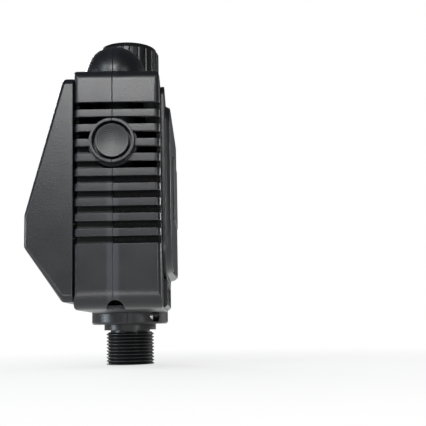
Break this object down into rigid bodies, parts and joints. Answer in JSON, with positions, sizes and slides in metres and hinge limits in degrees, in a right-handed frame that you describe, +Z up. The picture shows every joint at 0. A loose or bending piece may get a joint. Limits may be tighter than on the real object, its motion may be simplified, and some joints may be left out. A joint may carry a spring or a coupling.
{
  "type": "submersible fountain pump",
  "caption": "Black submersible pump in a two-part casing: slotted strainer cage with a round push button, side motor pod, vertical outlet pipe with threaded foot and ribbed union nut.",
  "frame": {"origin": "centre of the lower end of the outlet pipe's lower thread", "axes": "+Z up along the outlet pipe's axis towards the union nut, -Y towards the front with the push button, -X towards the motor pod; X = 0 is the parting plane of the casing"},
  "size_m": [0.0669, 0.1298, 0.1815],
  "materials": {
    "casing": "fine-grained black moulded plastic",
    "plate": "satin dark grey plastic, blank",
    "screws": "stainless steel",
    "button": "satin black plastic",
    "spring": "stainless spring wire",
    "inner_plastic": "smooth black plastic",
    "pipe": "smooth black plastic",
    "seals": "black rubber",
    "impeller": "natural white plastic",
    "magnet": "ferrite magnet",
    "bearing": "carbon-filled plastic",
    "ceramic": "polished white ceramic",
    "iron": "laminated electrical steel",
    "copper": "enamelled copper wire",
    "resin": "cast potting resin"
  },
  "bodies": {
    "pump": {"shell_left": "casing", "shell_right": "casing", "wing_pod": "casing", "side_cover": "casing", "blank_plate": "plate", "louvre_grille": "casing", "casing_screws": "screws", "latch_spring": "spring", "latch_socket": "inner_plastic", "outlet_pipe": "pipe", "discharge_duct": "inner_plastic", "duct_seals": "seals", "volute": "inner_plastic", "volute_cover": "inner_plastic", "chamber_seal": "seals", "shaft": "ceramic", "front_bush": "seals", "rear_bush": "seals", "motor_can": "inner_plastic", "stator_core": "iron", "stator_coils": "copper", "resin_fill": "resin", "cable_gland": "seals"},
    "button": {"latch_button": "button"},
    "nut": {"union_nut": "pipe"},
    "rotor": {"impeller": "impeller", "rotor_magnet": "magnet", "bearing_sleeve": "bearing"}
  },
  "joints": [
    {"name": "button_press", "type": "slide", "parent": "pump", "child": "button", "axis": [0, 1, 0], "range_m": [0, 0.002], "stiffness_N_per_m": 400, "springref_m": -0.002, "deforming": ["latch_spring"]},
    {"name": "nut_spin", "type": "hinge", "parent": "pump", "child": "nut", "pos_m": [0, 0, 0.16], "axis": [0, 0, 1], "continuous": true},
    {"name": "impeller_spin", "type": "hinge", "parent": "pump", "child": "rotor", "pos_m": [-0.0125, -0.08, 0.064], "axis": [0, 1, 0], "continuous": true}
  ]
}
